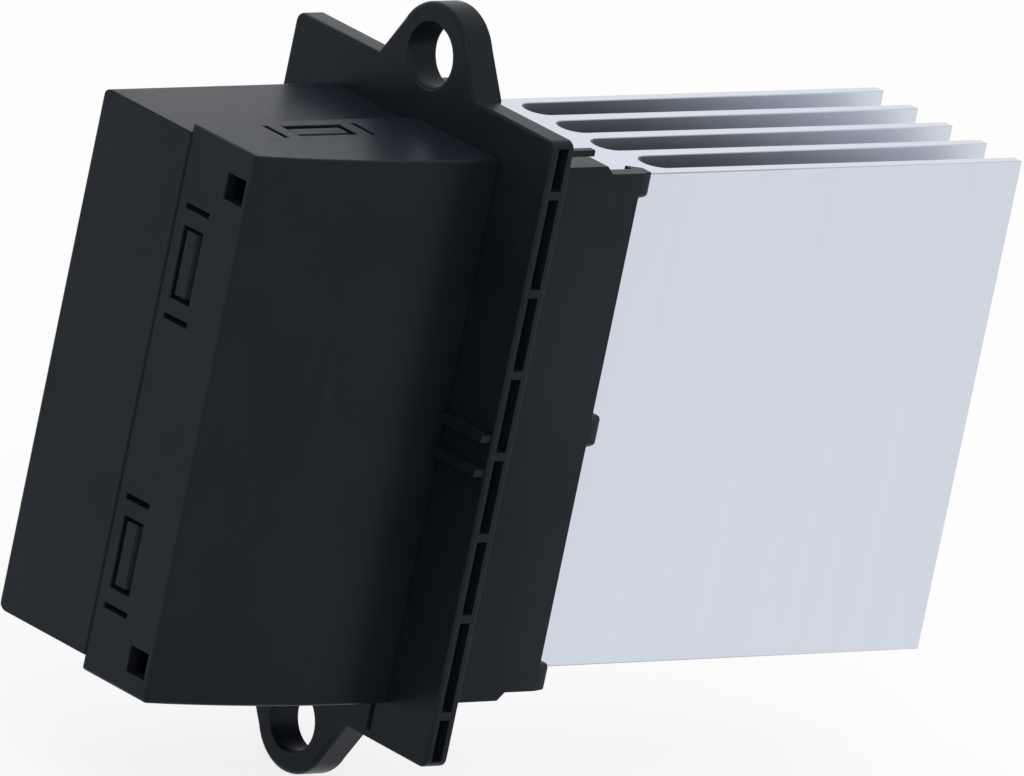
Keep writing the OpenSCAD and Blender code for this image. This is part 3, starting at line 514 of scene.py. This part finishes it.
def enamelled_wire(colour):
    """Copper under clear enamel, darker in patches."""
    material, work = new_material("enamelled_wire")
    place = work.place()
    patch = work.noise(place, 0.9 * MM, 4.0)
    tone = work.blend(work.ramp(patch, 0.35, 0.65), tint(colour, 0.7), colour)
    work.output(work.node("ShaderNodeBsdfPrincipled", {}, {
        "Base Color": tone, "Metallic": 0.85, "Roughness": 0.26 + (patch - 0.5) * 0.15,
        "Coat Weight": work.ramp(patch, 0.2, 0.8), "Normal": work.bump(patch, 0.01 * MM)}))
    return material


def shrunk_sleeve(colour, metal, box):
    """Capacitor: a glossy shrunk film, a bare metal end and bright leads."""
    material, work = new_material("shrunk_sleeve")
    place = work.place()
    low, high = box
    along = work.axis(place, "Z")
    wrinkle = work.noise(work.stretch(place, (1.0, 1.0, 0.3)), 0.8 * MM, 3.0)
    can_end = low.z + 0.45 * MM
    lead_start = high.z - 1.75 * MM
    bare = (along < can_end) | (along > lead_start)
    film = work.blend(work.ramp(wrinkle, 0.3, 0.7), tint(colour, 0.85), tint(colour, 1.2))
    skin = work.blend(work.ramp(wrinkle, 0.4, 0.7), metal, tint(metal, 0.8))
    work.output(work.node("ShaderNodeBsdfPrincipled", {}, {
        "Base Color": work.blend(bare, film, skin), "Metallic": bare,
        "Roughness": 0.24 + (wrinkle - 0.5) * 0.2 + bare * 0.1, "Normal": work.bump(wrinkle, 0.02 * MM)}))
    return material


def read(items, name, width, kind=np.float32):
    """One property of all items of a mesh, as an array with this many numbers in a row."""
    values = np.empty(len(items) * width, kind)
    items.foreach_get(name, values)
    return values.reshape(-1, width) if width > 1 else values


def sharp_edges(mesh):
    """For each edge, whether its two faces meet at more than the angle SHARP, and whether it is an outer edge."""
    loop_edge = read(mesh.loops, "edge_index", 1, np.int32)
    if len(loop_edge) != 2 * len(mesh.edges):
        raise RuntimeError(f"{mesh.name}: the copy isn't closed")
    points = read(mesh.vertices, "co", 3)
    ends = read(mesh.edges, "vertices", 2, np.int32)
    normals = read(mesh.polygons, "normal", 3)
    corners = read(mesh.polygons, "loop_total", 1, np.int32)
    face = np.repeat(np.arange(len(corners)), corners)
    loops = np.argsort(loop_edge, kind="stable").reshape(-1, 2)
    first, second = (normals[face[loops[:, side]]] for side in (0, 1))
    forward = read(mesh.loops, "vertex_index", 1, np.int32)[loops[:, 0]] == ends[:, 0]
    along = (points[ends[:, 1]] - points[ends[:, 0]]) * np.where(forward, 1.0, -1.0)[:, None]
    outer = (second * np.cross(first, along)).sum(1) < 0.0
    return (first * second).sum(1) < math.cos(SHARP), outer


def edge_widths(mesh, fine, zones):
    """Rounding of each edge: the fine one on sharp outer edges, and another where both ends of the edge lie in one
    of the zones, which hold ranges in millimetres along X, Y and Z and a width. The last zone that an edge lies in
    counts. Inner edges stay hard."""
    points = read(mesh.vertices, "co", 3)
    ends = points[read(mesh.edges, "vertices", 2, np.int32)]
    widths = np.full(len(ends), fine, np.float32)
    for x, y, z, width in zones:
        low, high = np.array((x, y, z)).T * MM
        widths[((ends >= low) & (ends <= high)).all((1, 2))] = width
    sharp, outer = sharp_edges(mesh)
    return widths * (sharp & outer)


def running_on(mesh, widths):
    """Pairs of rounded edges that run on into each other, with less than the angle RUN_ON between them."""
    points = read(mesh.vertices, "co", 3)
    ends = read(mesh.edges, "vertices", 2, np.int32)
    live = np.flatnonzero(widths)
    edge, at, to = np.tile(live, 2), ends[live].T.ravel(), ends[live, ::-1].T.ravel()
    order = np.argsort(at, kind="stable")
    edge, at, to = edge[order], at[order], to[order]
    away = points[to] - points[at]
    away /= np.linalg.norm(away, axis=1)[:, None]
    pairs = []
    for step in range(1, MOST_AT_CORNER):
        opposite = (away[:-step] * away[step:]).sum(1) < -math.cos(RUN_ON)
        both = np.stack((edge[:-step], edge[step:]), 1)
        pairs.append(both[(at[:-step] == at[step:]) & opposite])
    return np.concatenate(pairs)


def evened(widths, pairs):
    """The same widths, with one width, the least, along each run of edges."""
    while True:
        least = widths.copy()
        np.minimum.at(least, pairs[:, 0], widths[pairs[:, 1]])
        np.minimum.at(least, pairs[:, 1], widths[pairs[:, 0]])
        if (least == widths).all():
            return widths
        widths = least


def overturned(piece, points, least):
    """True for each corner of the plain mesh that is nearest to a point of a face that the rounding turned over.
    Faces of less than the given area don't count."""
    shown = piece.evaluated_get(bpy.context.evaluated_depsgraph_get()).data
    before = read(shown.attributes["facing"].data, "vector", 3)
    turned = (read(shown.polygons, "normal", 3) * before).sum(1) < TURNED_OVER
    turned &= read(shown.polygons, "area", 1) > least
    sides = np.repeat(turned, read(shown.polygons, "loop_total", 1, np.int32))
    used = np.unique(read(shown.loops, "vertex_index", 1, np.int32)[sides])
    spots = read(shown.vertices, "co", 3)[used].astype(np.float64)
    corners = points.astype(np.float64)
    gaps = (spots ** 2).sum(1)[:, None] + (corners ** 2).sum(1) - 2.0 * spots @ corners.T
    bad = np.zeros(len(points), bool)
    bad[gaps.argmin(1)] = True
    return bad


def round_edges(piece, fine, zones):
    """Bevel on the sharp edges. Where there is no room for a rounding it is halved until it fits."""
    mesh = piece.data
    points = read(mesh.vertices, "co", 3)
    ends = read(mesh.edges, "vertices", 2, np.int32)
    widths = edge_widths(mesh, fine, zones)
    pairs = running_on(mesh, widths)
    mesh.attributes.new("facing", "FLOAT_VECTOR", "FACE").data.foreach_set(
        "vector", read(mesh.polygons, "normal", 3).ravel())
    mesh.attributes.new("bevel_weight_edge", "FLOAT", "EDGE")
    bevel = piece.modifiers.new("edges", "BEVEL")
    bevel.limit_method = "WEIGHT"
    bevel.width = widths.max()
    bevel.segments = ROUNDING_STEPS
    bevel.use_clamp_overlap = False
    bevel.loop_slide = False
    bevel.harden_normals = True
    for _ in range(ROUNDING_TRIES):
        widths = evened(widths, pairs)
        mesh.attributes["bevel_weight_edge"].data.foreach_set("value", widths / bevel.width)
        mesh.update_tag()
        bpy.context.view_layer.update()
        bad = overturned(piece, points, (LEAST_FACE * fine) ** 2)
        if not bad.any():
            break
        widths[bad[ends].any(1)] *= 0.5
        widths[widths < LEAST_ROUNDING * fine] = 0.0
    else:
        raise RuntimeError(f"{piece.name}: the roundings find no room")
    mesh.attributes.remove(mesh.attributes["facing"])
    mesh.attributes.new("sharp_edge", "BOOLEAN", "EDGE").data.foreach_set(
        "value", (widths == 0.0) & sharp_edges(mesh)[0])


def smooth_piece(name, mesh, material):
    """Object for a mesh, with a material and smooth faces."""
    mesh.polygons.foreach_set("use_smooth", np.ones(len(mesh.polygons), bool))
    mesh.materials.append(material)
    piece = bpy.data.objects.new(name, mesh)
    bpy.context.scene.collection.objects.link(piece)
    return piece


def rounded_copy(node, material, fine, zones=()):
    """Copy of a CAD node that stands for it: triangles joined, flat areas made whole, and edges rounded."""
    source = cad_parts[node].data
    points = read(source.vertices, "co", 3)
    triangles = read(source.loops, "vertex_index", 1, np.int32).reshape(-1, 3)
    places = np.round(points / SAME_POINT).astype(np.int64)
    _, first, same = np.unique(places, axis=0, return_index=True, return_inverse=True)
    name = f"{node}_rounded"
    mesh = bpy.data.meshes.new(name)
    mesh.from_pydata(points[first].tolist(), [], same.reshape(-1)[triangles].tolist())
    work = bmesh.new()
    work.from_mesh(mesh)
    bmesh.ops.dissolve_degenerate(work, dist=SAME_POINT, edges=work.edges[:])
    bmesh.ops.dissolve_limit(work, angle_limit=FLAT, use_dissolve_boundaries=False,
                             verts=work.verts[:], edges=work.edges[:])
    work.to_mesh(mesh)
    work.free()
    piece = smooth_piece(name, mesh, material)
    round_edges(piece, fine, zones)
    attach(piece, "root")
    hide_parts(node)
    return piece


def coat(material, *nodes):
    """Puts a material on CAD nodes as they are."""
    for node in nodes:
        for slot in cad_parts[node].material_slots:
            slot.material = material


def lead_ends(node, below):
    """Middles of the leads of a node that reach below a height in Y: clusters of points with gaps of more than
    LEAD_GAP between them."""
    points = read(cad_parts[node].data.vertices, "co", 3)
    points = points[points[:, 1] < below][:, [0, 2]]
    order = np.argsort(points, axis=0)
    gaps = np.diff(np.take_along_axis(points, order, 0), axis=0, prepend=points.min(0)[None]) > LEAD_GAP
    labels = np.empty_like(order)
    np.put_along_axis(labels, order, np.cumsum(gaps, axis=0), 0)
    _, cluster = np.unique(labels, axis=0, return_inverse=True)
    cluster = cluster.reshape(-1)
    count = np.bincount(cluster)
    return np.stack([np.bincount(cluster, points[:, k]) / count for k in (0, 1)], 1)


def solder_joints(centres, face_y, height):
    """Solder cones on the board. Round each lead, radius falls with height h from pad to lead:
    r = lead + (pad - lead) (1 - h)^2.4, for h from 0 to 1 and all angles; both ends close to a point."""
    rings, sides = 9, 20
    pad, lead = 1.35 * MM, 0.55 * MM
    h = np.linspace(0.0, 1.0, rings)
    radius = np.concatenate([[0.0], lead + (pad - lead) * (1.0 - h) ** 2.4, [0.0]])
    level = face_y - height * np.concatenate([[0.0], h, [1.0]])
    angle = np.linspace(0.0, math.tau, sides, endpoint=False)
    shape = (len(centres), len(radius), sides)
    x = np.broadcast_to(centres[:, None, None, 0] + radius[:, None] * np.cos(angle), shape)
    z = np.broadcast_to(centres[:, None, None, 1] + radius[:, None] * np.sin(angle), shape)
    points = np.stack([x, np.broadcast_to(level[:, None], shape), z], -1).reshape(-1, 3)
    index = np.arange(np.prod(shape)).reshape(shape)
    after = np.roll(index, -1, axis=2)
    quads = np.stack([index[:, :-1], index[:, 1:], after[:, 1:], after[:, :-1]], -1).reshape(-1, 4)
    return points, quads


def closed_piece(name, points, faces, material):
    """New piece from arrays: doubles merged, faces turned outwards, and riding on the body."""
    mesh = bpy.data.meshes.new(name)
    mesh.from_pydata(points.tolist(), [], faces.tolist())
    work = bmesh.new()
    work.from_mesh(mesh)
    bmesh.ops.remove_doubles(work, verts=work.verts[:], dist=SAME_POINT)
    bmesh.ops.recalc_face_normals(work, faces=work.faces[:])
    work.to_mesh(mesh)
    work.free()
    piece = smooth_piece(name, mesh, material)
    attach(piece, "root")
    return piece


class RESISTOR_OT_housing(bpy.types.Operator):
    """Finish the black housing with its flange, ears, skirt and plug block"""

    bl_idname = "resistor.housing"
    bl_label = "Housing"

    def execute(self, context):
        look = context.scene.resistor_look.plastic
        zones = [(BLOCK_RIM_X, BLOCK_RIM_Y, ANYWHERE, look.rim_edge),
                 (SKIRT_RIM_X, ANYWHERE, ANYWHERE, look.rim_edge)]
        zones += [(HOOK_X, side, span, look.hook_edge) for side in HOOK_SIDES for span in HOOK_SPANS]
        for end in FLANGE_ENDS:
            zones += [(FLANGE_BACK_X, ANYWHERE, end, look.rim_edge), (SEAT_TO_PAD_X, ANYWHERE, end, look.rim_edge),
                      (FLANGE_BACK_X, EAR_Y, end, look.ear_edge)]
        for side in FLANGE_SIDES:
            zones += [(FLANGE_BACK_X, side, ANYWHERE, look.rim_edge), (SEAT_X, side, ANYWHERE, look.rim_edge),
                      (POCKET_X, side, ANYWHERE, 0.0)]
        zones += [(EAR_HOLE_X, EAR_HOLE_Y, hole, look.fine_edge) for hole in EAR_HOLES]
        zones += [(BLOCK_END_X, SEAM_Y, ANYWHERE, SEAM_SHARE * look.fine_edge)]
        rounded_copy("housing", moulded_plastic(look), look.fine_edge, zones)
        return {"FINISHED"}


class RESISTOR_OT_side_cover(bpy.types.Operator):
    """Finish the bowed side cover"""

    bl_idname = "resistor.side_cover"
    bl_label = "Side cover"

    def execute(self, context):
        look = context.scene.resistor_look.plastic
        zones = [(COVER_CORNER_X, COVER_CORNER_Y, ANYWHERE, COVER_CORNER_SHARE * look.rim_edge)]
        for side in COVER_SIDES:
            zones += [(COVER_BOW_X, COVER_BOW_Y, side, COVER_BOW_SHARE * look.rim_edge),
                      (COVER_END_X, COVER_END_Y, side, look.rim_edge)]
        zones += [(COVER_FOOT_X, ANYWHERE, ANYWHERE, 0.0), (COVER_END_X, SEAM_Y, ANYWHERE, 0.0)]
        rounded_copy("side_cover", bpy.data.materials["moulded_plastic"], look.fine_edge, zones)
        return {"FINISHED"}


class RESISTOR_OT_heat_sink(bpy.types.Operator):
    """Finish the extruded heat sink"""

    bl_idname = "resistor.heat_sink"
    bl_label = "Heat sink"

    def execute(self, context):
        look = context.scene.resistor_look.metal
        rounded_copy("heat_sink", extruded_aluminium(look), look.sink_edge)
        return {"FINISHED"}


class RESISTOR_OT_terminals(bpy.types.Operator):
    """Finish the blades and pins in the plug sockets"""

    bl_idname = "resistor.terminals"
    bl_label = "Terminals"

    def execute(self, context):
        look = context.scene.resistor_look.metal
        material = plated("tinned_brass", tuple(look.tin), roughness=0.48, patch=1.4 * MM)
        for node in TERMINALS:
            rounded_copy(node, material, look.terminal_edge)
        return {"FINISHED"}


class RESISTOR_OT_board(bpy.types.Operator):
    """Finish the circuit board and add its solder joints"""

    bl_idname = "resistor.board"
    bl_label = "Board"

    def execute(self, context):
        look = context.scene.resistor_look
        coat(lacquered_board(tuple(look.inner.laminate)), "circuit_board")
        face_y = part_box("circuit_board")[0].y
        centres = np.concatenate([lead_ends(node, face_y - LEAD_REACH) for node in SOLDERED])
        points, faces = solder_joints(centres, face_y, look.inner.solder_height)
        solder = plated("solder", tuple(look.metal.tin), roughness=0.22, patch=0.5 * MM)
        closed_piece("solder_joints", points, faces, solder)
        return {"FINISHED"}


class RESISTOR_OT_transistors(bpy.types.Operator):
    """Finish the power transistors and the pads under them"""

    bl_idname = "resistor.transistors"
    bl_label = "Transistors"

    def execute(self, context):
        look = context.scene.resistor_look
        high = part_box("transistor_upper")[1]
        legs_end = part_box("circuit_board")[1].y + LEG_LENGTH
        tab_start = high.y - TAB_LENGTH
        plate = high.x - TAB_THICKNESS

        def metal(work, place):
            y = work.axis(place, "Y")
            return (y < legs_end) | (y > tab_start) | (work.axis(place, "X") > plate)

        coat(moulded_case("transistor_case", tuple(look.inner.epoxy), metal, tuple(look.metal.tin)), *TRANSISTORS)
        coat(woven_pad(tuple(look.inner.pad)), "thermal_pads")
        return {"FINISHED"}


class RESISTOR_OT_screws(bpy.types.Operator):
    """Finish the screws of the transistors and the board"""

    bl_idname = "resistor.screws"
    bl_label = "Screws"

    def execute(self, context):
        look = context.scene.resistor_look.metal
        zinc = plated("zinc_plate", tuple(look.zinc), roughness=0.34, patch=0.8 * MM)
        coat(zinc, "transistor_screws", "board_screws")
        return {"FINISHED"}


class RESISTOR_OT_capacitor(bpy.types.Operator):
    """Finish the filter capacitor"""

    bl_idname = "resistor.capacitor"
    bl_label = "Capacitor"

    def execute(self, context):
        look = context.scene.resistor_look
        coat(shrunk_sleeve(tuple(look.inner.sleeve), tuple(look.metal.tin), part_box("filter_capacitor")),
             "filter_capacitor")
        return {"FINISHED"}


class RESISTOR_OT_choke(bpy.types.Operator):
    """Finish the choke's core and winding"""

    bl_idname = "resistor.choke"
    bl_label = "Choke"

    def execute(self, context):
        look = context.scene.resistor_look
        coat(sintered_ferrite(tuple(look.inner.ferrite)), "choke_core")
        coat(enamelled_wire(tuple(look.metal.copper)), "choke_winding")
        return {"FINISHED"}


class RESISTOR_OT_shunt(bpy.types.Operator):
    """Finish the current shunt"""

    bl_idname = "resistor.shunt"
    bl_label = "Current shunt"

    def execute(self, context):
        look = context.scene.resistor_look.metal
        coat(plated("shunt_metal", tint(look.tin, 0.82), roughness=0.40, patch=1.0 * MM), "current_shunt")
        return {"FINISHED"}


class RESISTOR_OT_small_parts(bpy.types.Operator):
    """Finish the chips, the diode and the rows of small parts"""

    bl_idname = "resistor.small_parts"
    bl_label = "Small parts"

    def execute(self, context):
        look = context.scene.resistor_look
        epoxy, tin = tuple(look.inner.epoxy), tuple(look.metal.tin)

        def legs_of(node, leg):
            """Mask of the legs on both sides of a part."""
            low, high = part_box(node)

            def metal(work, place):
                x = work.axis(place, "X")
                return (x < low.x + leg) | (x > high.x - leg)
            return metal

        def caps_of(node, count, pitch, half):
            """Mask of the metal caps of parts in a row: what lies further than half from the middle of each."""
            low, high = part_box(node)
            middle = (low.z + high.z) / 2

            def metal(work, place):
                turn = (work.axis(place, "Z") - middle) * (1.0 / pitch) + (0.5 * count)
                within = work.node("ShaderNodeMath", {"operation": "FRACT"}, {0: turn})
                return abs(within - 0.5) > half / pitch
            return metal

        for node, name, colour, mask in (
                ("driver_chip", "driver_case", epoxy, legs_of("driver_chip", leg=1.0 * MM)),
                ("suppressor_diode", "diode_case", epoxy, legs_of("suppressor_diode", leg=0.6 * MM)),
                ("chip_resistors", "resistor_chip", epoxy,
                 caps_of("chip_resistors", count=6, pitch=3.8 * MM, half=0.6 * MM)),
                ("chip_capacitors", "capacitor_chip", tuple(look.inner.ceramic),
                 caps_of("chip_capacitors", count=4, pitch=4.2 * MM, half=0.96 * MM))):
            coat(moulded_case(name, colour, mask, tin), node)
        return {"FINISHED"}


def white_to_camera(work):
    """1 on rays that show the background: those of the camera, of reflections and through clear pieces."""
    camera, glossy, through = (
        work.node("ShaderNodeLightPath", {}, {}, name)
        for name in ("Is Camera Ray", "Is Glossy Ray", "Is Transmission Ray"))
    return camera | glossy | through


def studio_floor(look, level):
    """Pale floor: a flat grid. Part of it is plain white to the camera, and the rest is lit and keeps the shadow."""
    across = np.linspace(-FLOOR_HALF, FLOOR_HALF, 3)
    u, v = np.meshgrid(across, across)
    points = np.stack([u, v, np.full_like(u, level)], -1).reshape(-1, 3)
    index = np.arange(u.size).reshape(u.shape)
    quads = np.stack([index[:-1, :-1], index[:-1, 1:], index[1:, 1:], index[1:, :-1]], -1).reshape(-1, 4)
    mesh = bpy.data.meshes.new("floor")
    mesh.from_pydata(points.tolist(), [], quads.tolist())
    material, work = new_material("pale_floor")
    lit = work.node("ShaderNodeBsdfDiffuse", {}, {"Color": (*look.floor, 1.0)})
    white = work.node("ShaderNodeEmission", {}, {"Color": WHITE, "Strength": 1.0})
    share = white_to_camera(work) * look.floor_glow
    upper = work.node("ShaderNodeMixShader", {}, {0: share, 1: lit, 2: white})
    clear = work.node("ShaderNodeBsdfTransparent", {}, {})
    below = work.node("ShaderNodeNewGeometry", {}, {}, "Backfacing")
    work.output(work.node("ShaderNodeMixShader", {}, {0: below, 1: upper, 2: clear}))
    mesh.materials.append(material)
    floor = bpy.data.objects.new("floor", mesh)
    bpy.context.scene.collection.objects.link(floor)


def soft_light(name, power, size, at, aim):
    """Square soft light at a point, turned to another point."""
    data = bpy.data.lights.new(name, "AREA")
    data.shape = "SQUARE"
    data.size = size
    data.energy = power
    light = bpy.data.objects.new(name, data)
    light.location = at
    light.rotation_euler = (Vector(aim) - Vector(at)).to_track_quat("-Z", "Y").to_euler()
    bpy.context.scene.collection.objects.link(light)


class RESISTOR_OT_stage(bpy.types.Operator):
    """Set the floor, the light and the camera"""

    bl_idname = "resistor.stage"
    bl_label = "Stage"

    def execute(self, context):
        scene = context.scene
        look = scene.resistor_look.studio
        studio_floor(look, CAD_BOX[0].z)
        soft_light("overhead_light", look.overhead, size=1.2, at=(-0.15, 0.25, 1.0), aim=(0.02, 0.0, 0.0))
        soft_light("side_light", look.side, size=0.9, at=(-0.42, -0.78, 0.45), aim=(0.0, 0.0, 0.0))
        world = bpy.data.worlds.new("room")
        world.use_nodes = True
        work = NodeWork(world.node_tree)
        shown = white_to_camera(work)
        strength = shown + (1.0 - shown) * look.room
        background = work.node("ShaderNodeBackground", {}, {"Color": WHITE, "Strength": strength})
        work.output(background, "ShaderNodeOutputWorld")
        scene.world = world
        data = bpy.data.cameras.new("camera")
        data.lens = look.lens
        data.sensor_fit = "HORIZONTAL"
        data.sensor_width = CAMERA_SENSOR
        data.clip_start, data.clip_end = CAMERA_CLIP
        camera = bpy.data.objects.new("camera", data)
        back = -CAMERA_FORWARD.normalized()
        right = CAMERA_UP.cross(back).normalized()
        turn = Matrix((right, back.cross(right), back)).transposed()
        camera.matrix_world = Matrix.Translation(CAMERA_AT) @ turn.to_4x4()
        scene.collection.objects.link(camera)
        scene.camera = camera
        scene.view_settings.view_transform = "Standard"
        return {"FINISHED"}


class RESISTOR_PT_panel(bpy.types.Panel):
    """Steps and settings of the resistor"""

    bl_idname = "RESISTOR_PT_panel"
    bl_label = "Blower motor resistor"
    bl_space_type = "VIEW_3D"
    bl_region_type = "UI"
    bl_category = "Resistor"

    def draw(self, context):
        look = context.scene.resistor_look
        for step in STEPS:
            self.layout.operator(step.bl_idname)
        for group in (look.plastic, look.metal, look.inner, look.studio):
            box = self.layout.box()
            for name in group.__annotations__:
                box.prop(group, name)


STEPS = (
    RESISTOR_OT_housing, RESISTOR_OT_side_cover, RESISTOR_OT_heat_sink, RESISTOR_OT_terminals, RESISTOR_OT_board,
    RESISTOR_OT_transistors, RESISTOR_OT_screws, RESISTOR_OT_capacitor, RESISTOR_OT_choke, RESISTOR_OT_shunt,
    RESISTOR_OT_small_parts, RESISTOR_OT_stage)
CLASSES = (PlasticLook, MetalLook, InnerLook, StudioLook, ResistorLook) + STEPS + (RESISTOR_PT_panel,)


def register():
    """Makes the classes and the scene's settings known to Blender."""
    for cls in CLASSES:
        bpy.utils.register_class(cls)
    bpy.types.Scene.resistor_look = PointerProperty(type=ResistorLook)


def unregister():
    """Takes them away again."""
    del bpy.types.Scene.resistor_look
    for cls in reversed(CLASSES):
        bpy.utils.unregister_class(cls)


def main():
    """Runs all steps in order."""
    register()
    for step in STEPS:
        group, name = step.bl_idname.split(".")
        getattr(getattr(bpy.ops, group), name)()


if __name__ == "__main__":
    main()
